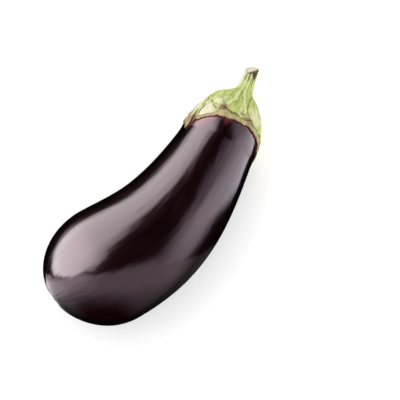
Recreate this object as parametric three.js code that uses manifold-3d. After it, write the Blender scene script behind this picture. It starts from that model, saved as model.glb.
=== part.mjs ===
// A ripe globe eggplant, picked and lying on its side: the fruit, the calyx that
// caps its neck, and the cut stem. Millimetres, +Z up, +X from the blossom end
// towards the stem, origin on the surface under the middle of the whole eggplant.
import * as THREE from "three";
import { mergeVertices } from "three/addons/utils/BufferGeometryUtils.js";
import Module from "manifold-3d";

const wasm = await Module();
wasm.setup();

// ---- Driving dimensions ----

// The fruit's outline, as radius against distance along its bent axis
const BULB_RADIUS = 41.9;
const BULB_END_LENGTH = 45; // from the blossom end to the widest place
const NECK_RADIUS = 28.8;
const NECK_START = 162; // where the shoulder begins, measured along the axis
const SHOULDER_LENGTH = 44;
const TAPER_HANDLE_BULB = 35; // lengths of the two handles of the taper's curve
const TAPER_HANDLE_NECK = 34;
const NECK_SLOPE = 0.13; // radius lost per millimetre as the taper reaches the neck
const SCAR_RADIUS = 4; // the dry scar where the flower was
const SCAR_DEPTH = 0.7;

// The fruit's bent axis. Its height falls with the radius, so that the underside
// lies along the surface, and its bend is the one that balances on that underside.
const FRUIT_AXIS = [
  [-127.2, 27, 43],
  [-57.8, 9.3, 43.9],
  [-61.8, -15.5, 38.4],
  [72.1, 20.9, 26],
];
const FLAT_DEPTH = 0.5; // how far the underside is flattened where it rests

// The calyx: a leathery cap, fleshy at the crown and thin at its rim
const FIT_GAP = 0.3;
const CALYX_REACH = 40.5; // down the skin from the crown to the rim, between lobes
const CALYX_RIM_THICKNESS = 0.9;
const CALYX_CROWN_THICKNESS = 4.6;
const CALYX_SWELLING = 1.6; // how much thicker the crown is on its fuller side
const SWELLING_ANGLE = 145;
const LOBES = [
  // angle round the neck and spread to each side in degrees, and length of the tip
  { angle: 40, spread: 28, length: 23 },
  { angle: 183, spread: 26, length: 12 },
  { angle: 256, spread: 22, length: 12 },
  { angle: 326, spread: 20, length: 17 },
];

// The stem: a ribbed stalk that flares into the calyx and ends in a slanting cut
const STEM_AXIS = [
  // its root inside the crown, its bend, and the middle of the cut, all from the crown
  [-6.7, -3.3, 1.1],
  [6.6, 0.4, -0.8],
  [23.6, 5.9, 2.1],
];
const STEM_TIP_RADIUS = 4.9;
const STEM_FLARE = 8.5;
const STEM_RIBS = 5;
const STEM_RIB_HEIGHT = 0.45;
const CUT_DIRECTION = [0.67, 0.41, 0.61];

// Facets round each piece and along it
const FRUIT_SIDES = 56;
const FRUIT_RINGS = 56;
const CALYX_SIDES = 80;
const CALYX_RINGS = 16;
const STEM_SIDES = 40;
const STEM_RINGS = 14;

const UP = new THREE.Vector3(0, 0, 1);

// ---- Shapes that every piece uses ----

const fruitAxis = new THREE.CubicBezierCurve3(
  ...FRUIT_AXIS.map((point) => new THREE.Vector3(...point)),
);
const fruitLength = NECK_START + SHOULDER_LENGTH;

// The outline from the blossom end to the crown: x is the distance along the axis, y the radius.
function fruitOutline() {
  const path = new THREE.Path();
  const scarEdge = Math.PI - Math.asin(SCAR_RADIUS / BULB_RADIUS);
  path.moveTo(SCAR_DEPTH, 0);
  path.lineTo(BULB_END_LENGTH * (1 + Math.cos(scarEdge)), SCAR_RADIUS);
  path.absellipse(
    BULB_END_LENGTH, 0, BULB_END_LENGTH, BULB_RADIUS, scarEdge, Math.PI / 2, true,
  );
  path.bezierCurveTo(
    BULB_END_LENGTH + TAPER_HANDLE_BULB,
    BULB_RADIUS,
    NECK_START - TAPER_HANDLE_NECK,
    NECK_RADIUS + NECK_SLOPE * TAPER_HANDLE_NECK,
    NECK_START,
    NECK_RADIUS,
  );
  path.absellipse(NECK_START, 0, SHOULDER_LENGTH, NECK_RADIUS, Math.PI / 2, 0, true);
  return path;
}

const outline = fruitOutline();
const outlineLength = outline.getLength();

// A point beside an axis: a distance along it, a radius and an angle round it.
// Angle 0 points level to the left of the axis, and 90 degrees points up.
function placeAround(axis, length, along, radius, angle) {
  const share = THREE.MathUtils.clamp(along / length, 0, 1);
  const tangent = axis.getTangentAt(share);
  const side = new THREE.Vector3().crossVectors(UP, tangent).normalize();
  const top = new THREE.Vector3().crossVectors(tangent, side);
  return axis
    .getPointAt(share)
    .addScaledVector(tangent, along - share * length)
    .addScaledVector(side, radius * Math.cos(angle))
    .addScaledVector(top, radius * Math.sin(angle));
}

// A straight lathe of [radius, height] points, each corner of which is then moved to
// the point that place(radius, height, angle) gives.
function bentLathe(profile, sides, place) {
  const points = profile.map((point) => new THREE.Vector2(...point));
  const lathe = new THREE.LatheGeometry(points, sides);
  lathe.deleteAttribute("normal");
  lathe.deleteAttribute("uv");
  const { position } = lathe.attributes;
  for (let corner = 0; corner < position.count; corner += 1) {
    const x = position.getX(corner);
    const z = position.getZ(corner);
    const moved = place(Math.hypot(x, z), position.getY(corner), Math.atan2(x, z));
    position.setXYZ(corner, ...moved);
  }
  return mergeVertices(lathe, 1e-3);
}

// Evenly spaced points from one [radius, height] to another, without the first.
function spacedPoints(from, to, count) {
  return Array.from({ length: count }, (unused, step) =>
    from.map((start, part) => THREE.MathUtils.lerp(start, to[part], (step + 1) / count)),
  );
}

function bareBox(size) {
  const box = new THREE.BoxGeometry(size, size, size);
  box.deleteAttribute("normal");
  box.deleteAttribute("uv");
  return mergeVertices(box);
}

function toSolid(geometry) {
  return new wasm.Manifold(
    new wasm.Mesh({
      numProp: 3,
      vertProperties: geometry.attributes.position.array,
      triVerts: new Uint32Array(geometry.index.array),
    }),
  );
}

function fromSolid(solid) {
  const { vertProperties, triVerts } = solid.getMesh();
  const geometry = new THREE.BufferGeometry();
  geometry.setAttribute("position", new THREE.BufferAttribute(vertProperties, 3));
  geometry.setIndex(new THREE.BufferAttribute(triVerts, 1));
  return geometry;
}

// Flattens the underside of a piece at the height of the surface it lies on.
function restOnSurface(geometry) {
  const ground = bareBox(3 * fruitLength).translate(0, 0, FLAT_DEPTH - 1.5 * fruitLength);
  return fromSolid(toSolid(geometry).subtract(toSolid(ground)));
}

// ---- Fruit ----

function makeFruit() {
  const profile = outline.getSpacedPoints(FRUIT_RINGS).map(({ x, y }) => [Math.max(y, 0), x]);
  const whole = bentLathe(profile, FRUIT_SIDES, (radius, along, angle) =>
    placeAround(fruitAxis, fruitLength, along, radius, angle),
  );
  return restOnSurface(whole);
}

// ---- Calyx ----

// The turn between two angles in degrees, from 0 to 180.
function turnBetween(angle, other) {
  return Math.abs(THREE.MathUtils.euclideanModulo(angle - other + 180, 360) - 180);
}

// How far the calyx reaches down from the crown, following the skin, at an angle round the neck.
function calyxReach(angle) {
  const degrees = THREE.MathUtils.radToDeg(angle);
  const tips = LOBES.map(
    ({ angle: middle, spread, length }) => length * Math.exp(-turnBetween(degrees, middle) / spread),
  );
  return tips.reduce((total, tip) => total + tip, CALYX_REACH);
}

// The thickness at a share of the way from the crown to the rim.
function calyxThickness(share, angle) {
  const swelling = CALYX_SWELLING * Math.cos(angle - THREE.MathUtils.degToRad(SWELLING_ANGLE));
  const crown = CALYX_CROWN_THICKNESS + swelling * Math.min(1, 4 * share);
  return THREE.MathUtils.lerp(CALYX_RIM_THICKNESS, crown, Math.max(0, 1 - share) ** 1.6);
}

// A point at a share of the way from the crown to the rim, and a height above the skin.
function overSkin(share, height, angle) {
  const along = 1 - (share * calyxReach(angle)) / outlineLength;
  const point = outline.getPoint(along);
  const tangent = outline.getTangent(along);
  const radius = share === 0 ? 0 : Math.max(0, point.y + tangent.x * height);
  return placeAround(fruitAxis, fruitLength, point.x - tangent.y * height, radius, angle);
}

// A thin disc wrapped over the crown: its radius runs to the rim, its height is its thickness.
function makeCalyx() {
  const profile = [
    [0, 0],
    ...spacedPoints([0, 0], [1, 0], CALYX_RINGS),
    ...spacedPoints([1, 0], [1, 1], 1),
    ...spacedPoints([1, 1], [0, 1], CALYX_RINGS),
  ];
  const cap = bentLathe(profile, CALYX_SIDES, (share, layer, angle) =>
    overSkin(share, FIT_GAP + layer * calyxThickness(share, angle), angle),
  );
  return restOnSurface(cap);
}

// The room under the calyx's outside and the fitting gap over it, closed inside the neck.
function roomUnderCalyx() {
  const profile = [[0, 0], [1, 1], ...spacedPoints([1, 1], [0, 1], CALYX_RINGS)];
  return bentLathe(profile, CALYX_SIDES, (share, layer, angle) =>
    layer === 0
      ? fruitAxis.getPointAt(NECK_START / fruitLength)
      : overSkin(share, 2 * FIT_GAP + calyxThickness(share, angle), angle),
  );
}

// ---- Stem ----

// The axis runs on past the middle of the cut, so that the slanting cut takes off its whole end.
function stemAxis() {
  const crown = fruitAxis.getPointAt(1);
  const [root, bend, cut] = STEM_AXIS.map((point) => new THREE.Vector3(...point).add(crown));
  const end = cut.clone().sub(bend).setLength(STEM_TIP_RADIUS).add(cut);
  return new THREE.QuadraticBezierCurve3(root, bend, end);
}

function stemRadius(share, angle) {
  const flare = STEM_FLARE * (1 - share) ** 3;
  return STEM_TIP_RADIUS + flare + STEM_RIB_HEIGHT * Math.cos(STEM_RIBS * angle);
}

function makeStem() {
  const axis = stemAxis();
  const length = axis.getLength();
  const profile = [[0, 0], [1, 0], ...spacedPoints([1, 0], [1, 1], STEM_RINGS), [0, 1]];
  const stalk = bentLathe(profile, STEM_SIDES, (radius, share, angle) =>
    placeAround(axis, length, share * length, radius * stemRadius(share, angle), angle),
  );
  const cut = new THREE.Vector3(...CUT_DIRECTION).normalize();
  const waste = bareBox(2 * length)
    .translate(0, 0, length)
    .applyQuaternion(new THREE.Quaternion().setFromUnitVectors(UP, cut))
    .translate(...axis.getPointAt(1 - STEM_TIP_RADIUS / length));
  return fromSolid(toSolid(stalk).subtract(toSolid(waste)).subtract(toSolid(roomUnderCalyx())));
}

// ---- Assembly ----

function addPiece(group, name, geometry, color, roughness) {
  const material = new THREE.MeshStandardMaterial({ color, roughness, metalness: 0 });
  const mesh = new THREE.Mesh(geometry, material);
  mesh.name = name;
  group.add(mesh);
}

const eggplant = new THREE.Group();
addPiece(eggplant, "fruit", makeFruit(), 0x1c0810, 0.15);
addPiece(eggplant, "calyx", makeCalyx(), 0xb9c478, 0.6);
addPiece(eggplant, "stem", makeStem(), 0xb4c070, 0.55);

// The origin goes on the surface, under the middle of the whole eggplant.
const box = new THREE.Box3().setFromObject(eggplant, true);
const middle = box.getCenter(new THREE.Vector3());
eggplant.position.set(-middle.x, -middle.y, -box.min.z);

export default eggplant;
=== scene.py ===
"""An eggplant lying on its side: its glossy skin, its leathery calyx and its cut stem.

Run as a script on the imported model. Every piece is made in metres, in the model's frame.
"""

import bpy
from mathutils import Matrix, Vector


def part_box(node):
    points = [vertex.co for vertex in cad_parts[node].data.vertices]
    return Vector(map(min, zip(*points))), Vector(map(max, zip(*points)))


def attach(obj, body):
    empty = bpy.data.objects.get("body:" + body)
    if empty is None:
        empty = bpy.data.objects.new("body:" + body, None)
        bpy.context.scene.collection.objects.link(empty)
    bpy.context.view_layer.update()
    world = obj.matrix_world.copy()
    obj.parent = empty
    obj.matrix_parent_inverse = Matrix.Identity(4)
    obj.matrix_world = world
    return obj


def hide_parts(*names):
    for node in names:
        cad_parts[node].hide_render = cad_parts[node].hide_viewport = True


bl_info = {
    "name": "Eggplant",
    "version": (1, 0, 0),
    "blender": (4, 5, 0),
    "location": "3D View > Sidebar > Eggplant",
    "description": "Makes an eggplant's skin, calyx and stem, and the stage it lies on",
    "category": "Add Mesh",
}

import math

import bmesh
import bpy
import numpy as np
from bpy.props import FloatProperty, FloatVectorProperty, PointerProperty
from bpy.types import Operator, Panel, PropertyGroup
from mathutils import Matrix, Vector, noise

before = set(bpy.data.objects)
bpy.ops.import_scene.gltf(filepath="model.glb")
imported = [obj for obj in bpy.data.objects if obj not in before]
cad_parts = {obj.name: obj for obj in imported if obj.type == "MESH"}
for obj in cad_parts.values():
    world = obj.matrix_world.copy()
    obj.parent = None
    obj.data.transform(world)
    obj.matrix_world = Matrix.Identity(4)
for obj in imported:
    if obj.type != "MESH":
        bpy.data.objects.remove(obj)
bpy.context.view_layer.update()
fruit_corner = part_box("fruit")[0]

MM = 0.001


# ---- Settings ----


def size(name, description, default, most=0.5):
    """A length in metres."""
    return FloatProperty(
        name=name, description=description, default=default, min=0.0, max=most,
        subtype="DISTANCE", unit="LENGTH", precision=4,
    )


def place(name, description, default):
    """A point in metres."""
    return FloatVectorProperty(
        name=name, description=description, default=default, size=3,
        subtype="TRANSLATION", unit="LENGTH", precision=4,
    )


def colour(name, description, default):
    """A colour, as linear red, green and blue."""
    return FloatVectorProperty(
        name=name, description=description, default=default, size=3, min=0.0, max=1.0,
        subtype="COLOR",
    )


def share(name, description, default, most=1.0):
    """A plain number from nought."""
    return FloatProperty(name=name, description=description, default=default, min=0.0, max=most)


def bearing(name, description, degrees):
    """An angle, given in degrees."""
    return FloatProperty(
        name=name, description=description, default=math.radians(degrees),
        subtype="ANGLE", unit="ROTATION",
    )


class FruitSettings(PropertyGroup):
    """The fruit's bent outline and its skin. Axis points are from the low corner of its box."""

    blossom_end: place("Blossom end", "Where the axis starts", (0.00122, 0.06318, 0.0425))
    bulb_handle: place("Bulb handle", "Pulls the axis along the bulb", (0.07062, 0.04548, 0.0434))
    neck_handle: place("Neck handle", "Pulls the axis along the neck", (0.06662, 0.02068, 0.0379))
    crown: place("Crown", "Where the axis ends", (0.20052, 0.05708, 0.0255))
    bulb_radius: size("Bulb radius", "Half the widest thickness", 0.0419)
    bulb_end: size("Bulb end", "From the blossom end to the widest place", 0.045)
    neck_radius: size("Neck radius", "Half the neck's thickness", 0.0288)
    neck_start: size("Neck start", "Where the shoulder begins, along the axis", 0.162)
    shoulder: size("Shoulder", "Length of the rounded end under the calyx", 0.044)
    bulb_taper: size("Bulb taper", "How long the bulb holds its width", 0.035)
    neck_taper: size("Neck taper", "How long the neck holds its slope", 0.034)
    neck_slope: share("Neck slope", "Radius lost per length as the neck begins", 0.13)
    scar_radius: size("Scar radius", "Half the width of the dry flower scar", 0.0036)
    skin: colour("Skin", "Blackish purple of the ripe skin", (0.0052, 0.0003, 0.0010))
    blush: colour("Blush", "Red of the young skin at the calyx", (0.25, 0.042, 0.052))
    cork: colour("Cork", "Tan of the dry flower scar", (0.30, 0.19, 0.10))


class CalyxSettings(PropertyGroup):
    """The leathery cap over the neck."""

    gap: size("Gap", "Between the skin and the calyx", 0.0003)
    reach: size("Reach", "Down the skin from the crown to the rim", 0.0405)
    rim: size("Rim", "Thickness at the rim", 0.0008)
    crown: size("Crown", "Thickness at the stem", 0.0046)
    swelling: size("Swelling", "Extra thickness on the fuller side", 0.0016)
    leaf: colour("Leaf", "Yellow-green of the living calyx", (0.67, 0.73, 0.21))
    lush: colour("Lush", "Deeper green of the fleshy middle", (0.46, 0.53, 0.11))
    # Pale also paints light on the calyx's left flank and the stalk's left side.
    pale: colour("Pale", "Cream of the thin panels", (0.86, 0.81, 0.56))
    dry: colour("Dry", "Tan of the dried rim", (0.58, 0.40, 0.24))
    # Brown also paints shade: shadow lines along the fold and under the rim's edge, and shade in dried
    # creases.
    brown: colour("Brown", "Brown of the torn edges", (0.10, 0.05, 0.024))
    # This dark green also paints shade: in the creases and down one side of the stalk.
    deep_green_and_shade: colour("Crease", "Dark green down in the creases", (0.14, 0.17, 0.03))


class StemSettings(PropertyGroup):
    """The ribbed stalk and its slanting cut. Axis points are from the crown."""

    root: place("Root", "Where the stalk's axis starts", (-0.0067, -0.0033, 0.0011))
    bend: place("Bend", "Where the stalk's axis bends", (0.0066, 0.0004, -0.0008))
    cut: place("Cut", "Middle of the cut", (0.0236, 0.0059, 0.0021))
    cut_slant: place("Cut slant", "Direction that the cut faces", (0.60, 0.38, 0.70))
    tip_radius: size("Tip radius", "Half the thickness at the cut", 0.0049)
    green: colour("Green", "Yellow-green between the ribs", (0.45, 0.53, 0.13))
    ridge: colour("Ridge", "Pale green along the ribs", (0.76, 0.81, 0.42))
    wood: colour("Wood", "Cream of the cut wood", (0.93, 0.84, 0.62))
    stain: colour("Stain", "Brown of the dried side of the cut", (0.045, 0.024, 0.010))


class StageSettings(PropertyGroup):
    """The floor, the light panels and the camera."""

    aim: place("Aim", "What the camera looks at", (0.01415, -0.00964, -0.0005))
    azimuth: bearing("Azimuth", "Camera's turn round the object", -51.6)
    elevation: bearing("Elevation", "Camera's height above the horizon", 74)
    distance: size("Distance", "From the aim to the camera", 0.822, 5.0)
    lens: share("Lens", "Focal length in millimetres", 100, 300)
    floor: colour("Floor", "Pale floor", (0.9, 0.9, 0.9))
    key: share("Key card", "Brightness of the large side card", 6.3, 50)
    card: share("Front card", "Brightness of the low front card", 0.8, 50)
    side: share("Side card", "Brightness of the card on the other side", 1.0, 50)
    fill: share("Fill", "Brightness all round", 0.9, 10)
    lamp: share("Lamp", "Power of the soft lamp over the key card's side, in watts", 7.5, 100)


# ---- Curves and surfaces ----


def bezier(points, steps):
    """Points and slopes of a Bezier curve at each step from 0 to 1."""
    points = np.asarray(points, float)
    steps = np.atleast_1d(steps)[:, None]
    slopes = (len(points) - 1) * np.diff(points, axis=0)

    def blend(handles):
        while len(handles) > 1:
            handles = [a * (1 - steps) + b * steps for a, b in zip(handles, handles[1:])]
        return handles[0] * np.ones_like(steps)

    return blend(list(points)), blend(list(slopes))


class BentAxis:
    """A curve that pieces are bent along, read by distance. It runs on straight past its ends."""

    def __init__(self, points, length=None):
        self.points = points
        self.steps = np.linspace(0, 1, 1601)
        line, _ = bezier(points, self.steps)
        self.run = np.r_[0, np.cumsum(np.linalg.norm(np.diff(line, axis=0), axis=1))]
        self.length = length or self.run[-1]
        self.run *= self.length / self.run[-1]

    def around(self, along, radius, angle):
        """Points at a distance along, a radius out and an angle round: 0 is level left, 90 up."""
        values = np.broadcast_arrays(along, radius, angle)
        along, radius, angle = (np.ravel(each) for each in values)
        held = np.clip(along, 0, self.length)
        centre, slope = bezier(self.points, np.interp(held, self.run, self.steps))
        slope /= np.linalg.norm(slope, axis=1)[:, None]
        left = np.cross((0.0, 0.0, 1.0), slope)
        left /= np.linalg.norm(left, axis=1)[:, None]
        up = np.cross(slope, left)
        out = np.cos(angle)[:, None] * left + np.sin(angle)[:, None] * up
        points = centre + slope * (along - held)[:, None] + out * radius[:, None]
        return points.reshape(*values[0].shape, 3)


class Outline:
    """The fruit's half outline. It is read by how far down the skin a place is from the crown."""

    def __init__(self, fruit):
        quarter = np.linspace(0, np.pi / 2, 400)
        end = fruit.bulb_end * (1 - np.cos(quarter)), fruit.bulb_radius * np.sin(quarter)
        start, neck = fruit.neck_start, fruit.neck_radius
        handles = (
            (fruit.bulb_end, fruit.bulb_radius),
            (fruit.bulb_end + fruit.bulb_taper, fruit.bulb_radius),
            (start - fruit.neck_taper, neck + fruit.neck_slope * fruit.neck_taper),
            (start, neck),
        )
        taper = bezier(handles, np.linspace(0, 1, 400)[1:-1])[0].T
        shoulder = start + fruit.shoulder * np.sin(quarter), neck * np.cos(quarter)
        along, radius = (np.concatenate(parts)[::-1] for parts in zip(end, taper, shoulder))
        run = np.r_[0, np.cumsum(np.hypot(np.diff(along), np.diff(radius)))]
        self.length = run[-1]
        # evenly spaced, from the crown down to the blossom end
        self.down = np.linspace(0, self.length, 3000)
        self.along = np.interp(self.down, run, along)
        self.radius = np.interp(self.down, run, radius)
        d_along = np.gradient(self.along, self.down)
        d_radius = np.gradient(self.radius, self.down)
        long = np.hypot(d_along, d_radius)
        self.out_along, self.out_radius = d_radius / long, -d_along / long

    def over(self, down, height):
        """Distance along the axis and radius, at a distance down the skin and a height over it."""
        read = [
            np.interp(down, self.down, values)
            for values in (self.along, self.radius, self.out_along, self.out_radius)
        ]
        along = read[0] + np.where(down > 0, read[2], 1) * height
        radius = read[1] + np.where(down > 0, read[3], 0) * height
        return along, np.maximum(radius, 0)


def fruit_axis(fruit):
    """The fruit's bent axis, in the model's frame."""
    points = (fruit.blossom_end, fruit.bulb_handle, fruit.neck_handle, fruit.crown)
    length = fruit.neck_start + fruit.shoulder
    return BentAxis([tuple(Vector(p) + fruit_corner) for p in points], length)


def turn(angle, other):
    """The turn in degrees between two angles in degrees, from -180 to 180."""
    return (np.asarray(angle) - other + 180) % 360 - 180


def smooth(low, high, value):
    """Goes smoothly from 0 at low to 1 at high. Low may be the greater of the two."""
    t = np.clip((np.asarray(value) - low) / (high - low), 0, 1)
    return t * t * (3 - 2 * t)


def bump(value, middle, width):
    """A smooth bump of height 1."""
    return np.exp(-(((np.asarray(value) - middle) / width) ** 2))


def grain(points, scale, octaves=3):
    """Fractal noise from about -1 to 1 at each point."""
    flat = np.asarray(points, float).reshape(-1, 3) * scale
    values = [noise.fractal(p, 0.8, 2.0, octaves) for p in flat]
    return np.array(values).reshape(np.shape(points)[:-1])


def quads(rows, columns, closed):
    """Faces between rows of points. A closed row runs on from its last point to its first."""
    faces = []
    for here in range(0, (rows - 1) * columns, columns):
        there = here + columns
        for side in range(columns if closed else columns - 1):
            after = (side + 1) % columns
            faces.append((here + side, here + after, there + after, there + side))
    return faces


def grid_mesh(name, grid):
    """A tube of quads through rings of points. A ring with all its points together closes an end."""
    mesh = bpy.data.meshes.new(name)
    mesh.from_pydata(grid.reshape(-1, 3).tolist(), [], quads(*grid.shape[:2], closed=True))
    return mesh


def add_values(mesh, name, values):
    """Stores one number, or one vector, for each vertex, for the material to read."""
    values = np.asarray(values, np.float32).ravel()
    one_each = len(values) == len(mesh.vertices)
    kind, key = ("FLOAT", "value") if one_each else ("FLOAT_VECTOR", "vector")
    layer = mesh.attributes.new(name, kind, "POINT")
    layer.data.foreach_set(key, values)


def finish_mesh(mesh):
    """Merges the poles, drops empty faces and turns every face outwards."""
    work = bmesh.new()
    work.from_mesh(mesh)
    bmesh.ops.remove_doubles(work, verts=work.verts, dist=1e-6)
    bmesh.ops.dissolve_degenerate(work, edges=work.edges, dist=1e-7)
    bmesh.ops.recalc_face_normals(work, faces=work.faces)
    for face in work.faces:
        face.smooth = True
    work.to_mesh(mesh)
    work.free()
    mesh.update()


def add_object(name, data):
    """Puts a new object in the scene."""
    thing = bpy.data.objects.new(name, data)
    bpy.context.scene.collection.objects.link(thing)
    return thing


def add_piece(name, mesh, material, node):
    """Puts a mesh in the scene in place of a node of the model."""
    mesh.materials.append(material)
    piece = add_object(name, mesh)
    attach(piece, "root")
    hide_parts(node)


# ---- Materials ----


class Finish:
    """Builds a material's nodes, with short words for the ones that repeat."""

    def __init__(self, name):
        self.material = bpy.data.materials.new(name)
        self.material.use_nodes = True
        self.nodes = self.material.node_tree.nodes
        self.links = self.material.node_tree.links
        self.shader = self.nodes["Principled BSDF"]

    def put(self, node, **inputs):
        """Sets or links a node's inputs, by name or by number."""
        for key, value in inputs.items():
            socket = node.inputs[int(key[1:]) if key[0] == "_" else key.replace("_", " ")]
            if isinstance(value, bpy.types.NodeSocket):
                self.links.new(value, socket)
            else:
                socket.default_value = value
        return node

    def value(self, name, kind="Fac"):
        """A number, or a vector, that is stored on the mesh."""
        node = self.nodes.new("ShaderNodeAttribute")
        node.attribute_name = name
        return node.outputs[kind]

    def math(self, operation, a, b=0.0, c=0.0):
        node = self.nodes.new("ShaderNodeMath")
        node.operation = operation
        return self.put(node, _0=a, _1=b, _2=c).outputs[0]

    def stretch(self, vector, scale):
        node = self.nodes.new("ShaderNodeMapping")
        return self.put(node, Vector=vector, Scale=scale).outputs[0]

    def noise(self, vector, scale, detail=4.0, rough=0.55, warp=0.0):
        node = self.nodes.new("ShaderNodeTexNoise")
        return self.put(
            node, Vector=vector, Scale=scale, Detail=detail, Roughness=rough, Distortion=warp
        ).outputs["Fac"]

    def spots(self, vector, scale):
        node = self.nodes.new("ShaderNodeTexVoronoi")
        return self.put(node, Vector=vector, Scale=scale).outputs["Distance"]

    def span(self, value, low, high, to_low=0.0, to_high=1.0):
        """Maps a value from one range to another, smoothly."""
        node = self.nodes.new("ShaderNodeMapRange")
        node.interpolation_type = "SMOOTHSTEP"
        return self.put(node, _0=value, _1=low, _2=high, _3=to_low, _4=to_high).outputs[0]

    def mix(self, amount, a, b):
        """Goes from colour a to colour b."""
        node = self.nodes.new("ShaderNodeMix")
        node.data_type = "RGBA"
        a, b = (c if isinstance(c, bpy.types.NodeSocket) else (*c[:3], 1.0) for c in (a, b))
        return self.put(node, _0=amount, _6=a, _7=b).outputs[2]

    def raise_surface(self, height, distance, strength):
        node = self.nodes.new("ShaderNodeBump")
        self.put(node, Height=height, Distance=distance, Strength=strength)
        self.put(self.shader, Normal=node.outputs[0])


# ---- The fruit ----

FRUIT_RINGS = 300
FRUIT_SIDES = 240
FLOW_RADIUS = 0.035  # of the even tube that the skin's streaks are drawn on
BROAD_SWELLS = ((2, 0.00022, 0.4), (3, 0.00025, 1.9), (5, 0.00014, 0.8))  # waves, height, turn
SWELL_TWIST = 9  # radians that they turn in a metre
HOLLOW_DEPTH = 0.0012  # of the blossom end, where the flower was
HOLLOW_WIDTH = 0.0055
PLEATS = 13  # round the hollow
PLEAT_DEPTH = 0.00028
PLEAT_MIDDLE = 0.0058  # from the blossom end
PLEAT_WIDTH = 0.0028
SCAR_DEPTH = 0.0009  # of the flower scar below the even outline
SCAR_THICKNESS = 0.0009
# Where the young skin shows red more broadly: middle and spread in degrees, and width.
BLUSH_PATCHES = (
    (66, 12, 0.006), (96, 5, 0.0035), (140, 20, 0.001), (230, 30, 0.003), (320, 18, 0.004),
)
BLUSH_LINE = 0.0009  # width of the red all round the calyx


def calyx_reach(calyx, angle):
    """How far down the skin from the crown the calyx comes, at an angle round the neck."""
    degrees = np.degrees(angle)
    middle, spread, depth = RIM_BAY
    reach = calyx.reach - depth * bump(turn(degrees, middle), 0, spread)
    for middle, spread, length in LOBES:
        reach += length * np.exp(-np.abs(turn(degrees, middle)) / spread)
    return reach


def swells(angle, down, length):
    """Broad, shallow swellings of the skin, which die out at both ends of the fruit."""
    height = sum(
        tall * np.cos(waves * angle + turned + SWELL_TWIST * down)
        for waves, tall, turned in BROAD_SWELLS
    )
    return height * smooth(0, 0.05, down) * smooth(0, 0.04, length - down)


def young_skin(rim_gap, angle, flow):
    """How red the skin is where the calyx shaded it: a thin line, with broader soft patches."""
    degrees = np.degrees(angle)
    width = BLUSH_LINE + 0.0004 * grain(flow, 260)
    for middle, spread, more in BLUSH_PATCHES:
        width = width + more * bump(turn(degrees, middle), 0, spread)
    blotch = 0.75 + 0.5 * grain(flow, 420)
    return np.clip(blotch * np.exp(-((np.maximum(rim_gap, 0) / np.abs(width)) ** 2)), 0, 1)


def make_fruit(fruit, calyx):
    """The whole skin, from the crown under the calyx to the blossom end."""
    axis, outline = fruit_axis(fruit), Outline(fruit)
    down = np.linspace(0, outline.length, FRUIT_RINGS)[:, None]
    angle = np.linspace(0, 2 * np.pi, FRUIT_SIDES, endpoint=False)[None, :]
    down, angle = np.broadcast_arrays(down, angle)
    from_end = outline.length - down
    flow = np.stack([FLOW_RADIUS * np.cos(angle), FLOW_RADIUS * np.sin(angle), down], -1)
    height = swells(angle, down, outline.length)
    height += 0.00006 * grain(flow * (1, 1, 0.15), 320) * smooth(0, 0.02, from_end)
    # the skin puckers into the hollow of the flower scar
    height -= HOLLOW_DEPTH * bump(from_end, 0, HOLLOW_WIDTH)
    pucker = 0.5 + 0.5 * np.cos(PLEATS * angle + 2.2 * np.sin(3 * angle))
    height -= PLEAT_DEPTH * pucker * bump(from_end, PLEAT_MIDDLE, PLEAT_WIDTH)
    along, radius = outline.over(down, height)
    for pole in (0, -1):
        along[pole], radius[pole] = along[pole].mean(), 0
    points = axis.around(along, radius, angle)
    points[..., 2] = np.maximum(points[..., 2], 0)
    mesh = grid_mesh("fruit_skin", points)
    add_values(mesh, "flow", flow)
    add_values(mesh, "young", young_skin(down - calyx_reach(calyx, angle), angle, flow))
    finish_mesh(mesh)
    add_piece("fruit_skin", mesh, skin_material(fruit), "fruit")


def make_scar(fruit):
    """The dry corky button where the flower was, in the hollow of the blossom end."""
    axis, outline = fruit_axis(fruit), Outline(fruit)
    rings, sides = 26, 72
    share = np.linspace(0, 1, rings)[:, None]
    angle = np.linspace(0, 2 * np.pi, sides, endpoint=False)[None, :]
    share, angle = np.broadcast_arrays(share, angle)
    ragged = 1 + 0.10 * np.cos(5 * angle + 1) + 0.07 * np.cos(9 * angle) + 0.04 * np.cos(17 * angle)
    spot = np.stack([share * np.cos(angle), share * np.sin(angle), 0 * share], -1)
    cork = 0.00028 * grain(spot, 6) + 0.0002 * np.cos(7 * np.pi * share) * (1 - share)
    faces = []
    down = outline.length - share * ragged * fruit.scar_radius
    for height in (cork + 0.0001 - 0.0005 * share**4, np.full_like(cork, -SCAR_THICKNESS)):
        along, radius = outline.over(down, height - SCAR_DEPTH)
        radius[0] = 0
        faces.append(axis.around(along, radius, angle))
    points = np.concatenate([faces[0], faces[1][::-1]])
    mesh = grid_mesh("flower_scar", points)
    add_values(mesh, "share", np.concatenate([share, share[::-1]]))
    finish_mesh(mesh)
    add_piece("flower_scar", mesh, cork_material(fruit), "fruit")


# ---- The calyx and the stalk ----

CAP_SIDES = 600
CALYX_ROWS = 110
INNER_ROWS = 24
FLARE_ROWS = 40
STALK_ROWS = 60
CUT_ROWS = 14
PLUG_ROWS = 6
FLARE_DOWN = 0.0135  # where the flare leaves the calyx, down the skin from the crown
FLARE_SHARE = 0.56  # where the flare joins the stalk, as a share of its axis
FLARE_PULL = 1.45 / 3  # how tightly the flare hugs the corner
FLARE_RADIUS = 0.0085  # how much further out the stalk's root is than its tip
WAIST = (0.78, 0.12, 0.0004)  # the stalk's thinnest place: share of its axis, spread and depth
FULLER_SIDE = 145  # degrees, where the calyx is thickest
WOOD_SINK = 0.00045  # the cut's wood, below its rim
PITH_SINK = 0.0005  # its pith, below the wood
ROT_SINK = 0.0008  # its dried wedge, below both
ROT_SIDE = 142  # degrees, the middle of the dried wedge
FIBRE_RADIUS = 0.03  # of the even tube that the fibres are drawn on
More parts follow.
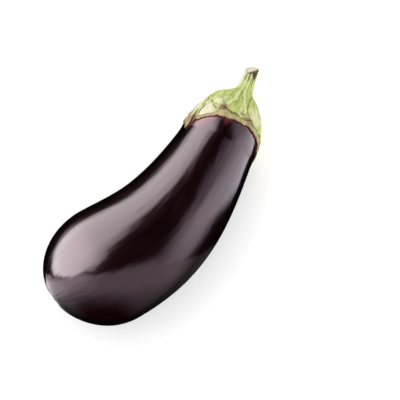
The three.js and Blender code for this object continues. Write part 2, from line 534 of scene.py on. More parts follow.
# Of these, the pale, brown and dark green masks also hold painted light and shade.
PAINTS = ("ridge", "groove", "pale", "lush", "dry", "brown")
LOBES = (  # angle and spread in degrees, and length
    (40, 28, 0.0195),
    (183, 25, 0.0095),
    (256, 22, 0.012),
    (326, 20, 0.017),
)
RIM_BAY = (140, 24, 0.0015)  # where the rim draws back: angle and spread in degrees, and depth
# Teeth and nicks of the rim: angle and spread in degrees, and how much further down it reaches.
TEETH = (
    (44, 1.7, -0.013),  # the split in the left lobe
    (50, 2.0, -0.0022),
    (184, 2.6, 0.0035),  # the tip of the right lobe
    *((angle, 0.7, 0.0011) for angle in (92.5, 95, 98.5, 101)),
)
# Ribs that run down the stalk and out over the calyx. Each has places, as millimetres down from
# the crown (below nought up the stalk) and the angle there; then its height and width.
RIBS = (
    ((-30, 40), (-5, 48), (16, 54), (28, 55), (41, 45), (58, 41), 0.75, 1.15),
    ((-30, 84), (-8, 84), (14, 90), (24, 91), (33, 84), (38, 76), 0.85, 1.1),
    ((-30, 112), (-8, 106), (13, 106), (25, 111), (31, 116), (38, 121), 0.95, 1.05),
    ((-30, 156), (-5, 150), (15, 150), (32, 160), (44, 174), (54, 183), 0.7, 1.3),
    ((-30, 205), (-5, 200), (16, 204), (30, 214), 0.7, 1.2),
    ((-30, 250), (-5, 248), (20, 252), (50, 256), 0.8, 1.2),
    ((-30, 296), (-5, 292), (18, 290), (30, 284), 0.6, 1.2),
    ((-30, 345), (-5, 338), (20, 330), (54, 326), 0.8, 1.2),
)
# Creases and small wrinkles: places down from the crown with their angles, and depth. The depth also
# sets their painted shade.
CREASES = (
    ((24, 36), (33, 46), (41, 50), (47, 49), (56, 45), 0.35),
    ((30, 49), (33, 57), (37, 65), (39, 73), (37, 84), 0.5),
    ((20, 20), (28, 27), (36, 30), (46, 31), (58, 33), 0.4),
    ((24, 10), (34, 15), (46, 22), (58, 27), 0.45),
    ((22, 52), (26, 47), (30, 49), 0.35),
    ((19, 60), (23, 66), (28, 68), 0.25),
    ((28, 72), (33, 79), (36, 86), 0.35),
    ((39, 74), (36, 84), (38, 96), (37, 108), 0.45),
    ((34, 108), (35, 117), (35, 128), 0.5),
    ((38, 114), (36, 122), (38, 131), 0.4),
    ((33, 118), (36, 125), (35, 131), 0.4),
    ((12, 182), (10, 160), (11, 138), (15, 126), (22, 120), (28, 119), (33, 124), 0.6),
    ((8, 95), (17, 97), (25, 98), (31, 96), 0.3),
    ((8, 74), (18, 78), (26, 80), (31, 74), 0.3),
    ((37, 134), (42, 146), (47, 160), (53, 176), 0.5),
    ((18, 136), (22, 132), (27, 136), 0.25),
    ((22, 20), (33, 24), (45, 32), (55, 37), 0.4),
    ((26, 178), (36, 184), (46, 190), 0.4),
    ((20, 225), (30, 231), (40, 244), (48, 252), 0.4),
    ((24, 262), (34, 268), (41, 262), 0.35),
    ((20, 278), (32, 300), (44, 318), 0.45),
    ((24, 344), (34, 350), (40, 340), (50, 332), 0.4),
    ((26, 2), (34, 8), (40, 2), 0.3),
)
# Where the leaf folds over its dried rim: the angle, and millimetres up from the rim.
FOLD = (
    (0, 6), (40, 9), (50, 3.6), (60, 2.4), (69, 2.2), (75, 4), (84, 8), (96, 5.5), (107, 4.2),
    (118, 4), (130, 5.5), (139, 4), (165, 7), (183, 9), (220, 4), (256, 8), (290, 4), (326, 9),
    (360, 6),
)
# Soft patches. Each has a height, then its middle and spread: down in millimetres, and round in
# degrees.
SWELLINGS = (
    (0.75, (25, 9), (138, 17)),
    (0.45, (33, 6), (98, 8)),
    (-0.5, (38, 6), (66, 9)),
    (1.4, (17, 8), (14, 30)),  # the left shoulder, swollen out to its edge
)
WRINKLED = (1.0, (36.8, 2.8), (80, 9)), (1.3, (35.6, 2.2), (122, 9))
PALE_SPOTS = (0.8, (33, 6), (108, 2.2)), (0.65, (28, 12), (140, 17))
LUSH_FLAP = ((0.9, (31, 10), (98, 13)),)


class Cap:
    """The outside of the calyx and the stalk as one surface, in rows from the rim to the cut."""

    def __init__(self, fruit, calyx, stem):
        self.calyx, self.stem = calyx, stem
        self.outline, self.neck = Outline(fruit), fruit_axis(fruit)
        self.neck_radius = fruit.neck_radius
        crown = Vector(fruit.crown) + fruit_corner
        root, bend, cut = (Vector(p) + crown for p in (stem.root, stem.bend, stem.cut))
        end = cut + (cut - bend).normalized() * stem.tip_radius
        self.stalk = BentAxis([tuple(p) for p in (root, bend, end)])
        self.slant = np.array(Vector(stem.cut_slant).normalized())
        self.angle = np.linspace(0, 2 * np.pi, CAP_SIDES, endpoint=False)
        self.degrees = np.degrees(self.angle)
        self.ring = np.stack([np.cos(self.angle), np.sin(self.angle), 0 * self.angle], -1)
        self.rim = self.ragged_reach()
        self.build()

    def ragged_reach(self):
        """The rim with its teeth, nicks, and the lobe that has split in two."""
        reach = calyx_reach(self.calyx, self.angle)
        reach += 0.0007 * grain(self.ring, 7) + 0.00035 * grain(self.ring, 24)
        reach += 0.0004 * np.abs(grain(self.ring, 60, 2))
        for angle, spread, further in TEETH:
            reach += further * bump(turn(self.degrees, angle), 0, spread)
        return reach

    def calyx_point(self, down, height):
        """Points on the neck, at a distance down the skin and a height over it."""
        return self.neck.around(*self.outline.over(down, height), self.angle)

    def stalk_point(self, share):
        """Points on the stalk before its relief, at a share of its axis."""
        waist, spread, depth = WAIST
        radius = self.stem.tip_radius + FLARE_RADIUS * (1 - share) ** 3
        radius -= depth * bump(share, waist, spread)
        return self.stalk.around(share * self.stalk.length, radius, self.angle)

    def thickness(self, down):
        """The calyx's thickness at a distance down the skin."""
        left = np.clip(1 - down / self.rim, 0, 1)
        swelling = self.calyx.swelling * np.cos(self.angle - math.radians(FULLER_SIDE))
        crown = self.calyx.crown + swelling * np.clip(4 * (1 - left), 0, 1)
        edge = 0.5 * self.calyx.rim
        return edge + (crown - edge) * left**1.6

    def lift(self, down):
        """How far the dried rim stands off the skin."""
        curl = 0.0001 + 0.00045 * smooth(0, 0.8, grain(self.ring, 5) + 0.3)
        return curl * smooth(0.8, 1.02, down / self.rim) ** 2

    def build(self):
        """Makes the rows of the calyx, the flare and the stalk, and raises their relief."""
        gap = self.calyx.gap
        share = np.linspace(0, 1, CALYX_ROWS)[:, None] ** 0.85
        down = self.rim + (FLARE_DOWN - self.rim) * share
        skirt = self.calyx_point(down, gap + self.lift(down) + self.thickness(down))
        cut_share = self.find_cut()
        rise = FLARE_SHARE + (cut_share - FLARE_SHARE) * np.linspace(0, 1, STALK_ROWS)[:, None]
        stalk = self.stalk_point(rise)
        step = np.linspace(0, 1, FLARE_ROWS + 2)[1:-1, None]
        flare = self.flare(step, skirt, stalk)
        self.base = np.concatenate([skirt, flare, stalk])
        up_flare = np.broadcast_to(FLARE_DOWN * (1 - step), flare.shape[:2])
        up_stalk = -(rise - FLARE_SHARE) * self.stalk.length
        self.down = np.concatenate([down, up_flare, up_stalk])
        self.foot = CALYX_ROWS + FLARE_ROWS // 2
        opposite = np.roll(self.base, CAP_SIDES // 2, axis=1)
        self.radius = np.linalg.norm(self.base - opposite, axis=-1) / 2
        self.mark()
        along = np.gradient(self.base, axis=0)
        round_it = np.roll(self.base, -1, axis=1) - np.roll(self.base, 1, axis=1)
        out = np.cross(round_it, along)
        out /= np.linalg.norm(out, axis=-1)[..., None] + 1e-12
        middle = self.base.mean(axis=1, keepdims=True)
        out *= np.sign(np.sum(out * (self.base - middle), -1).mean())
        self.outer = self.base + out * self.relief[..., None]

    def flare(self, step, skirt, stalk):
        """The rows that lead smoothly from the calyx up into the stalk."""
        start, finish = skirt[-1], stalk[0]
        leave, arrive = start - skirt[-2], stalk[1] - finish
        pull = FLARE_PULL * np.linalg.norm(finish - start, axis=-1)[:, None]
        leave, arrive = (pull * way / np.linalg.norm(way, axis=-1)[:, None] for way in (leave, arrive))
        return bezier((start, start + leave, finish - arrive, finish), step)[0]

    def find_cut(self):
        """The share of the stalk's axis at which each line up its side meets the slanting cut."""
        middle = self.stalk.around(self.stalk.length - self.stem.tip_radius, 0, 0)
        shares = np.linspace(FLARE_SHARE, 1.15, 120)
        past = (self.stalk_point(shares[:, None]) - middle) @ self.slant
        return np.array([np.interp(0, line, shares) for line in past.T])

    def near(self, places):
        """The distance in millimetres from each point to a line of places down and round the cap."""
        order = np.arange(len(places))
        steps = np.linspace(0, order[-1], 12 * len(places))
        best = np.full(self.at.shape, np.inf)
        for at, turned in zip(*(np.interp(steps, order, values) for values in np.transpose(places))):
            aside = np.radians(turn(self.degrees, turned)) * self.radius / MM
            best = np.minimum(best, (self.at - at) ** 2 + aside**2)
        return np.sqrt(best)

    def patches(self, rows):
        """The sum of soft patches."""
        return sum(
            tall * bump(self.at, *down) * bump(turn(self.turned, middle), 0, spread)
            for tall, down, (middle, spread) in rows
        )

    def mark(self):
        """Works out the relief of the ribs, folds and wrinkles, and where each colour shows."""
        self.at = self.down / MM
        self.turned = np.broadcast_to(self.degrees, self.down.shape)
        self.fine, self.coarse = grain(self.base, 700), grain(self.base, 210)
        self.wrinkled = self.patches(WRINKLED)
        fold_up = np.interp(self.turned, *np.array(FOLD, float).T)
        self.over_fold = (self.rim - self.down) / MM - fold_up + 0.8 * self.coarse + 0.3 * self.fine
        rim_slope = np.gradient(self.rim) / (np.gradient(self.angle) * self.neck_radius)
        self.from_rim = (self.rim - self.down) / MM / np.sqrt(1 + rim_slope**2)
        # the dried rim under the fold, and the part of it that is still green
        self.band = smooth(0.4, -0.4, self.over_fold)
        self.olive = smooth(74, 90, self.turned) * smooth(172, 150, self.turned)
        self.dried = smooth(30, 38, self.at)

        relief, self.ridge, beside = self.ribs()
        depth, crease_shade = self.creases()
        crumpled = smooth(8, 22, self.at)
        relief += self.patches(SWELLINGS) - depth
        relief += 0.42 * smooth(-0.3, 0.35, self.over_fold) * smooth(14, 2, self.over_fold)
        relief += (0.12 + 0.42 * crumpled + 0.6 * self.wrinkled) * self.coarse
        relief += (0.04 + 0.13 * crumpled) * self.fine
        self.relief = relief * MM * smooth(0, 1.2, self.from_rim)

        flesh = 0.4 * smooth(0, 12, self.at) * smooth(32, 20, self.at)
        self.lush = np.clip(self.patches(LUSH_FLAP) + flesh, 0, 1)
        self.groove = self.dark_green_and_painted_shade(beside, crease_shade)
        self.pale = self.cream_and_painted_light()
        self.dry, self.brown = self.dried_rim_and_shade_lines(crease_shade)

    def ribs(self):
        """The height of the ribs, and how near each point is to a crest and to a rib's side."""
        height, crests, beside = (np.zeros_like(self.at) for _ in range(3))
        fade = 0.65 + 0.35 * smooth(12, 0, self.at)
        for *places, tall, wide in RIBS:
            at, turned = np.array(places, float).T
            aside = np.radians(turn(self.turned, np.interp(self.at, at, turned))) * self.radius / MM
            aside += 0.35 * self.coarse * smooth(0, 20, self.at)
            here = smooth(at[-1] + 1.5, at[-1] - 7, self.at)
            breadth = wide * (0.62 + 0.38 * smooth(-8, 20, self.at))
            crest = here * bump(aside, 0, breadth)
            side = here * bump(np.abs(aside), 1.75 * breadth, 0.5 * breadth)
            height += fade * tall * (crest - 0.32 * side)
            crests = np.maximum(crests, crest)
            beside = np.maximum(beside, side * (1 - crest))
        return height, crests, beside

    def creases(self):
        """The depth of the creases, and the painted shade that darkens them."""
        depth, dark = np.zeros_like(self.at), np.zeros_like(self.at)
        for *places, deep in CREASES:
            line = bump(self.near(places) + 0.35 * self.fine, 0, 0.5)
            depth += deep * line
            # painted shade: each of the creases is darkened where shade falls in it
            dark = np.maximum(dark, line * (0.6 + deep))
        return depth, dark

    def dark_green_and_painted_shade(self, beside, crease_shade):
        """Where it is dark green: darker beside the ribs and on the olive rim, with painted shade in
        the creases, in dashes along the first of the creases, and down one side of the stalk.
        """
        up_stalk = smooth(2, -6, self.at)
        groove = beside * (0.55 + 0.45 * up_stalk) * (1 + self.coarse)
        # painted shade down the stalk's side at 146 degrees, away from the light, plus the real olive
        # green of the dried rim
        shaded = 0.48 * up_stalk * bump(turn(self.turned, 146), 0, 28) + 0.5 * self.band * self.olive
        groove = np.maximum(groove, shaded * (1 + 0.6 * self.coarse))
        # painted shade in the creases
        groove = np.maximum(groove, 0.9 * crease_shade * (1 - self.dried))
        # painted shadow: dark dashes along the first of the creases
        shadow_dashes = bump(self.near(CREASES[0][:-1]), 0, 0.9) * smooth(0, 0.25, self.fine)
        return np.clip(groove + shadow_dashes, 0, 1)

    def cream_and_painted_light(self):
        """Where it is cream: the thin panel, patch and spots, and painted light on the left flank and
        the stalk's left side, where the light falls.
        """
        at, fine, coarse = self.at, self.fine, self.coarse
        ragged = self.turned + 4 * coarse + 2 * fine
        panel = smooth(45, 51, ragged) * smooth(78, 62, ragged + 1.2 * (42 - at))
        panel = panel * smooth(31, 38, at) * smooth(-0.5, 1.0, self.over_fold)
        patch = 0.65 * bump(turn(ragged, 70 + 0.8 * (31 - at)), 0, 7) * bump(at + 2 * fine, 30, 6)
        # painted light: the left flank lightened where the light falls
        flank = 0.6 * smooth(8, 22, ragged) * smooth(44, 38, ragged) * smooth(22, 32, at)
        # painted light: the stalk's left side lightened where the light falls
        painted_light_stalk = smooth(80, 48, self.turned) * smooth(10, -1, at)
        spots = self.patches(PALE_SPOTS)
        return np.clip(panel + patch + flank + painted_light_stalk + spots + 0.25 * coarse, 0, 1)

    def dried_rim_and_shade_lines(self, crease_shade):
        """Where it has dried tan, and where it is brown: torn edges and spots, with painted shadow
        lines along the fold and the rim's edge, and painted shade in dried creases.
        """
        fine, coarse, turned = self.fine, self.coarse, self.turned
        left_lobe = bump(turn(turned, 40), 0, 7) * smooth(44, 50, self.at)
        right_lobe = bump(turn(turned, 183), 0, 8) * smooth(47, 51, self.at)
        hem = smooth(1.5, 0.8, self.from_rim) * self.olive
        dry = self.band * (1 - 0.75 * self.olive) + 0.6 * hem + 0.5 * self.wrinkled
        dry = np.clip(dry, 0, 1) + 0.8 * left_lobe + 0.7 * right_lobe
        # brown line along the fold: partly the flap's dried edge, partly painted shadow under it
        fold = 0.8 * bump(self.over_fold, 0, 0.55) * smooth(-0.6, 0.3, coarse + 0.4)
        lobes = smooth(57, 47, turned) + smooth(138, 150, turned)
        # brown rim edge: partly the dried edge, partly painted contact shadow under the lifted rim
        edge = bump(self.from_rim, 0, 0.55 + 0.8 * lobes) * smooth(-0.6, 0.3, fine + coarse + 0.4)
        spots = 1.1 * self.wrinkled * smooth(-0.25, 0.2, coarse + 0.6 * fine)
        # painted shade: the creases in the dried part darkened brown
        torn = self.dried * crease_shade * smooth(-0.5, 0.3, coarse + 0.3)
        brown = fold + edge + spots + torn + 0.45 * right_lobe
        return np.clip(dry, 0, 1), np.clip(brown, 0, 1)


def disc_rows(ring, count):
    """Rows from a ring of points in to its middle."""
    middle = ring.mean(axis=0)
    steps = np.linspace(0, 1, count + 1)[1:, None, None]
    return ring + steps * (middle - ring)


def make_calyx(fruit, calyx, stem):
    """The calyx as a closed shell: its inside, its outside, and a plug where the stalk sits."""
    cap = Cap(fruit, calyx, stem)
    outer = cap.outer[: cap.foot + 1]
    down = np.linspace(0, 1, INNER_ROWS)[:, None] * cap.rim
    inner = cap.calyx_point(down, calyx.gap + cap.lift(down))
    inner[0] = inner[0].mean(axis=0)
    plug = disc_rows(outer[-1], PLUG_ROWS)
    # neither side goes below the table
    for sheet, lowest in ((outer, 0.0), (inner, 0.2 * MM)):
        sheet[..., 2] = np.maximum(sheet[..., 2], lowest)
    points = np.concatenate([inner, outer, plug])
    mesh = grid_mesh("calyx", points)
    before, after = len(inner), len(plug)
    paint_cap(mesh, cap, slice(0, cap.foot + 1), before, after)
    sharpen_ring(mesh, before + cap.foot)
    finish_mesh(mesh)
    add_piece("calyx_leaves", mesh, cap_material("calyx_skin", calyx, stem), "calyx")


def cut_face(cap, rim):
    """The rows of the cut: sunken wood and pith with a dried wedge. Also the wood and its stain."""
    rows = disc_rows(rim, CUT_ROWS)
    share = np.linspace(0, 1, CUT_ROWS + 1)[1:, None]
    wedge = np.abs(turn(cap.degrees, ROT_SIDE)) + 12 * grain(rows, 500)
    rot = smooth(84, 62, wedge) * smooth(0, 0.1, share)
    rot = rot * smooth(1, 0.7, share + 0.3 * (wedge > 50))
    sunk = WOOD_SINK * smooth(0.08, 0.4, share) + PITH_SINK * smooth(0.75, 1, share)
    sunk = sunk + ROT_SINK * rot * smooth(1, 0.5, share) + 0.0001 * grain(rows, 1500)
    rows = rows - sunk[..., None] * cap.slant
    rows[-1] = rows[-1].mean(axis=0)
    edge = smooth(0, 0.05, share) * smooth(0.2, 0.08, share)
    return rows, smooth(0.02, 0.12, share), np.maximum(rot, 0.55 * edge)


def make_stem(fruit, calyx, stem):
    """The stalk, closed by a plug at its foot and by its cut."""
    cap = Cap(fruit, calyx, stem)
    outer = cap.outer[cap.foot :]
    plug = disc_rows(outer[0], PLUG_ROWS)[::-1]
    top, cut_wood, cut_stain = cut_face(cap, outer[-1])
    points = np.concatenate([plug, outer, top])
    mesh = grid_mesh("stem", points)
    paint_cap(mesh, cap, slice(cap.foot, None), len(plug), len(top))
    wood, stain = np.zeros((2, *points.shape[:2]))
    wood[-CUT_ROWS:], stain[-CUT_ROWS:] = cut_wood, cut_stain
    # the stain runs down the stalk's side below the wedge
    from_cut = (cap.down[cap.foot :] - cap.down[-1]) / MM + 1.2 * grain(outer, 420)
    reach = 0.9 + 5.5 * bump(turn(cap.degrees, ROT_SIDE), 0, 15)
    side = smooth(62, 48, np.abs(turn(cap.degrees, 128)))
    stain[len(plug) : -CUT_ROWS] = side * smooth(reach + 1.0, reach - 0.6, from_cut)
    add_values(mesh, "wood", wood)
    add_values(mesh, "stain", stain)
    sharpen_ring(mesh, len(plug))
    finish_mesh(mesh)
    add_piece("stalk", mesh, cap_material("stalk_skin", calyx, stem, cut=True), "stem")


def paint_cap(mesh, cap, rows, before, after):
    """Stores where each colour goes, for rows of the cap with other rows before and after them."""
    stored = {paint: getattr(cap, paint)[rows] for paint in PAINTS}
    down = cap.down[rows]
    ring = np.broadcast_to(FIBRE_RADIUS * cap.ring[:, :2], (*down.shape, 2))
    stored["flow"] = np.concatenate([ring, down[..., None]], -1)
    for name, values in stored.items():
        added = [(before, after)] + [(0, 0)] * (values.ndim - 1)
        add_values(mesh, name, np.pad(values, added, mode="edge"))


def sharpen_ring(mesh, row):
    """Keeps the shading of a row's two sides apart, where the calyx and the stalk meet."""
    sharp = mesh.attributes.new("sharp_edge", "BOOLEAN", "EDGE")
    ends = np.empty(2 * len(mesh.edges), np.int32)
    mesh.edges.foreach_get("vertices", ends)
    on_row = ends.reshape(-1, 2) // CAP_SIDES == row
    sharp.data.foreach_set("value", on_row.all(axis=1))


# ---- Finishes ----


def skin_material(fruit):
    """Thin, waxy, almost black skin, red where the calyx shaded it."""
    f = Finish("eggplant_skin")
    flow = f.value("flow", "Vector")
    streaks = f.noise(f.stretch(flow, (1, 1, 0.05)), 900, 5)
    clouds = f.noise(flow, 70, 4)
    warm, pale = (0.0098, 0.0007, 0.0018), (0.014, 0.0014, 0.0028)
    base = f.mix(f.span(clouds, 0.35, 0.7), fruit.skin, warm)
    base = f.mix(f.span(streaks, 0.5, 0.75, 0, 0.6), base, pale)
    red = f.mix(f.value("young"), base, fruit.blush)
    roughness = f.span(streaks, 0.3, 0.7, 0.16, 0.24)
    f.put(f.shader, Base_Color=red, Roughness=roughness, IOR=1.5)
    f.put(f.shader, Specular_Tint=(1.0, 0.66, 0.8, 1.0))
    f.put(f.shader, Coat_Weight=1.0, Coat_Roughness=0.09, Coat_IOR=1.5)
    lines = f.noise(f.stretch(flow, (1, 1, 0.07)), 1500, 4)
    pores = f.spots(f.stretch(flow, (1, 1, 0.6)), 700)
    rise = f.math("MULTIPLY_ADD", f.span(pores, 0.0, 0.35), 0.25, lines)
    f.raise_surface(rise, 0.00004, 0.5)
    return f.material


def cork_material(fruit):
    """Rough tan cork, flecked with brown and darker at its edge."""
    f = Finish("flower_scar_cork")
    brown, edge = (0.11, 0.055, 0.025), (0.05, 0.02, 0.012)
    place_on = f.nodes.new("ShaderNodeTexCoord").outputs["Object"]
    flecks = f.noise(place_on, 1400, 5)
    base = f.mix(f.span(flecks, 0.35, 0.65), fruit.cork, brown)
    base = f.mix(f.span(f.value("share"), 0.75, 1.0), base, edge)
    f.put(f.shader, Base_Color=base, Roughness=f.span(flecks, 0.2, 0.8, 0.7, 0.9))
    f.raise_surface(flecks, 0.0002, 0.6)
    return f.material


def cap_material(name, calyx, stem, cut=False):
    """Leathery green skin of the calyx and stalk: pale ribs, dry tan rim and brown torn edges, with
    painted shade in the creases, down one side of the stalk and under the rim, and painted light on
    the left side.
    """
    f = Finish(name)
    place_on = f.nodes.new("ShaderNodeTexCoord").outputs["Object"]
    flow = f.value("flow", "Vector")
    fibres = f.noise(f.stretch(flow, (1, 1, 0.14)), 1500, 5)
    mottle = f.noise(place_on, 240, 5)
    flecks = f.noise(place_on, 1100, 4)
    body = f.mix(f.span(mottle, 0.42, 0.6), calyx.leaf, stem.green)
    speck = f.math("MULTIPLY", f.span(flecks, 0.56, 0.68), f.span(mottle, 0.5, 0.6))
    # the brown mask also holds painted shadow lines and painted shade in creases
    torn = f.math("MULTIPLY", f.value("brown"), f.span(flecks, 0.25, 0.6, 0.6, 1.0))
    layers = (
        (f.span(f.noise(place_on, 420, 3, 0.5, 1.2), 0.56, 0.66, 0, 0.45), stem.ridge),
        (f.span(fibres, 0.4, 0.75, 0, 0.5), stem.ridge),
        (f.math("MULTIPLY", f.value("lush"), 0.8), calyx.lush),
        (f.span(f.value("ridge"), 0.35, 1.0, 0, 0.85), stem.ridge),
        # the pale mask also holds painted light on the left side
        (f.span(f.value("pale"), 0.1, 0.9), calyx.pale),
        # this dark green mask also holds painted shade
        (f.span(f.value("groove"), 0.15, 0.9, 0, 0.85), calyx.deep_green_and_shade),
        (f.value("dry"), calyx.dry),
        (f.math("MULTIPLY", speck, 0.7), calyx.deep_green_and_shade),
        (torn, calyx.brown),
    )
    for amount, tint in layers:
        body = f.mix(amount, body, tint)
    if cut:
        old_wood = (0.45, 0.33, 0.17)
        wood = f.mix(f.span(f.noise(place_on, 1900, 5), 0.45, 0.75), stem.wood, old_wood)
        body = f.mix(f.value("wood"), body, wood)
        blotch = f.span(f.noise(f.stretch(flow, (1, 1, 0.5)), 900, 5), 0.25, 0.55, 0.6, 0.97)
        body = f.mix(f.math("MULTIPLY", f.value("stain"), blotch), body, stem.stain)
    roughness = f.span(fibres, 0.3, 0.7, 0.5, 0.72)
    f.put(f.shader, Base_Color=body, Roughness=roughness, Specular_IOR_Level=0.35)
    rise = f.math("MULTIPLY_ADD", fibres, 0.6, flecks)
    f.raise_surface(rise, 0.0003, 0.7)
    return f.material


# ---- Stage ----

FLOOR_HALF = 3.0
FLOOR_GLOW = 0.36
CARD_STEPS = 61
LAMP_PLACE = (-0.75, 0.55, 0.9)  # to the camera's right, up and back of the aim
LAMP_WIDTH = 0.9
SENSOR_WIDTH = 36


def camera_axes(stage):
    """The camera's right, up and backward directions."""
    azimuth, elevation = stage.azimuth, stage.elevation
    right = Vector((math.cos(azimuth), math.sin(azimuth), 0))
    level = Vector((math.sin(azimuth), -math.cos(azimuth), 0))
    back = level * math.cos(elevation) + Vector((0, 0, math.sin(elevation)))
    return right, back.cross(right), back


def make_floor(stage):
    """A wide, pale floor that glows a little, and that glossy skin doesn't reflect."""
    mesh = bpy.data.meshes.new("floor")
    corners = [(x * FLOOR_HALF, y * FLOOR_HALF, 0) for x, y in ((-1, -1), (1, -1), (1, 1), (-1, 1))]
    mesh.from_pydata(corners, [], [(0, 1, 2, 3)])
    f = Finish("floor_paper")
    f.put(f.shader, Base_Color=(*stage.floor, 1), Roughness=0.9, Specular_IOR_Level=0.0)
    f.put(f.shader, Emission_Color=(1, 1, 1, 1), Emission_Strength=FLOOR_GLOW)
    mesh.materials.append(f.material)
    floor = add_object("floor", mesh)
    floor.visible_glossy = False


def make_card(name, stage, corner, along, across, brightness, tint, glow):
    """A glowing card. Its corner and sides are to the camera's right, up and back of the aim."""
    right, up, back = camera_axes(stage)
    aim = Vector(stage.aim)
    points, values = [], []
    for u in np.linspace(0, 1, CARD_STEPS):
        for v in np.linspace(0, 1, CARD_STEPS):
            x, y, z = np.array(corner) + u * np.array(along) + v * np.array(across)
            points.append(aim + right * x + up * y + back * z)
            values.append(float(glow(x, y, z)))
    mesh = bpy.data.meshes.new(name)
    mesh.from_pydata(points, [], quads(CARD_STEPS, CARD_STEPS, closed=False))
    add_values(mesh, "glow", values)
    f = Finish(name)
    light = f.nodes.new("ShaderNodeEmission")
    f.put(light, Color=(*tint, 1))
    f.put(light, Strength=f.math("MULTIPLY", f.value("glow"), brightness))
    f.links.new(light.outputs[0], f.nodes["Material Output"].inputs["Surface"])
    mesh.materials.append(f.material)
    card = add_object(name, mesh)
    card.visible_camera = False
    card.visible_diffuse = False


def key_glow(x, y, z):
    """The large side card is brightest low down at the side, and fades upwards and over the top."""
    across = (x + 1) / 1.05
    over = (1 - 0.35 * smooth(0.3, 0.8, across)) * smooth(1.15, 0.8, across)
    foot = smooth(-0.35, -0.2, y) if z < 0.3 else 1.0
    return over * foot * smooth(-0.22, 0.0, z) / (1 + 0.45 * (z - 0.4) ** 2)


def front_glow(x, y, z):
    """The front card is brighter to the left, and dark in the middle, as if in a shadow."""
    places = (-1.6, -1.1, -0.87, -0.6, -0.45, -0.28, -0.1)
    left = np.interp(x, places, (1.2, 1.4, 2.5, 2.4, 1.6, 1.35, 1))
    left += 1.8 * smooth(0.2, 0.7, z) * smooth(-0.85, -1.2, x)
    shadow = smooth(0.08, 0.5, math.hypot(x + 0.08, max(z, 0)))
    top = smooth(2.0, 0.7, z) if x < -0.35 else smooth(2.4, 1.1, z)
    low = smooth(0.1, -0.28, z) * np.interp(x, (-0.9, -0.65, -0.3), (0.05, 0.35, 0.92))
    return left * shadow * top * (1 - low)


def side_glow(x, y, z):
    """The other side's card is a soft box low down, and a fainter table light above and below it."""
    foot = smooth(-0.16, -0.06, y)
    box = (1 + smooth(-0.5, 0.05, y)) * smooth(0.8, 0.25, z)
    box *= foot + (1 - foot) * smooth(-0.15, 0.12, z)
    table = 0.78 * smooth(-0.12, -0.45, y) * smooth(-0.2, 0.2, z) * smooth(3.5, 1.6, z)
    return max(box, table) * np.interp(y, (0.12, 0.35, 0.8, 0.98), (1.0, 0.48, 0.42, 0.0))


def make_cards(stage):
    """The three cards that the glossy skin reflects. Each has a corner and two sides."""
    key = (-1.24, -0.35, -0.3), (0, 0, 3.8), (1.5, 1.571, 0)
    front = (-1.6, -0.35, -1.1), (2.14, 0, 0), (0, 0, 3.6)
    side = (0.7, -0.455, -0.5), (0, 0, 3.6), (0, 1.45, 0)
    make_card("key_card", stage, *key, stage.key, (1.0, 0.98, 0.98), key_glow)
    make_card("front_card", stage, *front, stage.card, (1.0, 0.89, 0.97), front_glow)
    make_card("side_card", stage, *side, stage.side, (1.0, 0.94, 1.04), side_glow)


def make_lamp(stage):
    """One soft lamp for the dull surfaces and the shadows."""
    data = bpy.data.lights.new("lamp", "AREA")
    data.size = LAMP_WIDTH
    data.energy = stage.lamp
    lamp = add_object("lamp", data)
    way = sum((axis * far for axis, far in zip(camera_axes(stage), LAMP_PLACE)), Vector())
    lamp.location = Vector(stage.aim) + way
    lamp.rotation_euler = way.to_track_quat("Z", "Y").to_euler()
    lamp.visible_glossy = False


def make_world(stage):
    """An even white room, which glossy skin doesn't reflect."""
    world = bpy.data.worlds.new("white_room")
    world.use_nodes = True
    ground = world.node_tree.nodes["Background"]
    ground.inputs["Color"].default_value = (1, 1, 1, 1)
    ground.inputs["Strength"].default_value = stage.fill
    world.cycles_visibility.glossy = False
    bpy.context.scene.world = world


def make_camera(stage):
    """A camera that looks at the aim from its azimuth and elevation."""
    right, up, back = camera_axes(stage)
    data = bpy.data.cameras.new("camera")
    data.lens = stage.lens
    data.sensor_width = SENSOR_WIDTH
    camera = add_object("camera", data)
    turned = Matrix((right, up, back)).transposed().to_4x4()
    camera.matrix_world = Matrix.Translation(Vector(stage.aim) + back * stage.distance) @ turned
    bpy.context.scene.camera = camera


# ---- Add-on ----


class EGGPLANT_OT_stage(Operator):
    """Make the floor, the light cards, the room's light and the camera"""

    bl_idname = "eggplant.stage"
    bl_label = "Stage"

    def execute(self, context):
        stage = context.scene.eggplant_stage
        make_camera(stage)
        make_floor(stage)
        make_cards(stage)
        make_lamp(stage)
        make_world(stage)
        context.scene.view_settings.view_transform = "Standard"
        return {"FINISHED"}


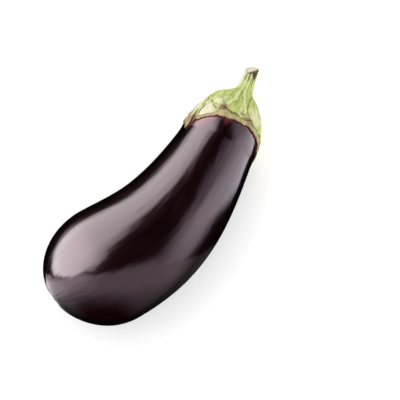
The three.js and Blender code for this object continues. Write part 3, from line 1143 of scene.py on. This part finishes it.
class EGGPLANT_OT_fruit(Operator):
    """Make the fruit's skin and the dry scar at its blossom end"""

    bl_idname = "eggplant.fruit"
    bl_label = "Fruit"

    def execute(self, context):
        scene = context.scene
        make_fruit(scene.eggplant_fruit, scene.eggplant_calyx)
        make_scar(scene.eggplant_fruit)
        return {"FINISHED"}


class EGGPLANT_OT_calyx(Operator):
    """Make the leathery calyx over the neck"""

    bl_idname = "eggplant.calyx"
    bl_label = "Calyx"

    def execute(self, context):
        scene = context.scene
        make_calyx(scene.eggplant_fruit, scene.eggplant_calyx, scene.eggplant_stem)
        return {"FINISHED"}


class EGGPLANT_OT_stem(Operator):
    """Make the ribbed stalk and its cut"""

    bl_idname = "eggplant.stem"
    bl_label = "Stem"

    def execute(self, context):
        scene = context.scene
        make_stem(scene.eggplant_fruit, scene.eggplant_calyx, scene.eggplant_stem)
        return {"FINISHED"}


class EGGPLANT_PT_panel(Panel):
    """The eggplant's pieces, each with its sizes and colours"""

    bl_idname = "EGGPLANT_PT_panel"
    bl_label = "Eggplant"
    bl_space_type = "VIEW_3D"
    bl_region_type = "UI"
    bl_category = "Eggplant"

    def draw(self, context):
        for maker, settings, _ in MAKERS:
            box = self.layout.box()
            box.operator(maker.bl_idname)
            values = getattr(context.scene, settings)
            for name in values.bl_rna.properties.keys():
                if name not in ("name", "rna_type"):
                    box.prop(values, name)


MAKERS = (
    (EGGPLANT_OT_stage, "eggplant_stage", StageSettings),
    (EGGPLANT_OT_fruit, "eggplant_fruit", FruitSettings),
    (EGGPLANT_OT_calyx, "eggplant_calyx", CalyxSettings),
    (EGGPLANT_OT_stem, "eggplant_stem", StemSettings),
)
CLASSES = (*(one for maker, _, group in MAKERS for one in (group, maker)), EGGPLANT_PT_panel)


def register():
    for one in CLASSES:
        bpy.utils.register_class(one)
    for _, name, group in MAKERS:
        setattr(bpy.types.Scene, name, PointerProperty(type=group))


def unregister():
    for _, name, _ in MAKERS:
        delattr(bpy.types.Scene, name)
    for one in reversed(CLASSES):
        bpy.utils.unregister_class(one)


def main():
    register()
    bpy.ops.eggplant.stage()
    bpy.ops.eggplant.fruit()
    bpy.ops.eggplant.calyx()
    bpy.ops.eggplant.stem()


if __name__ == "__main__":
    main()
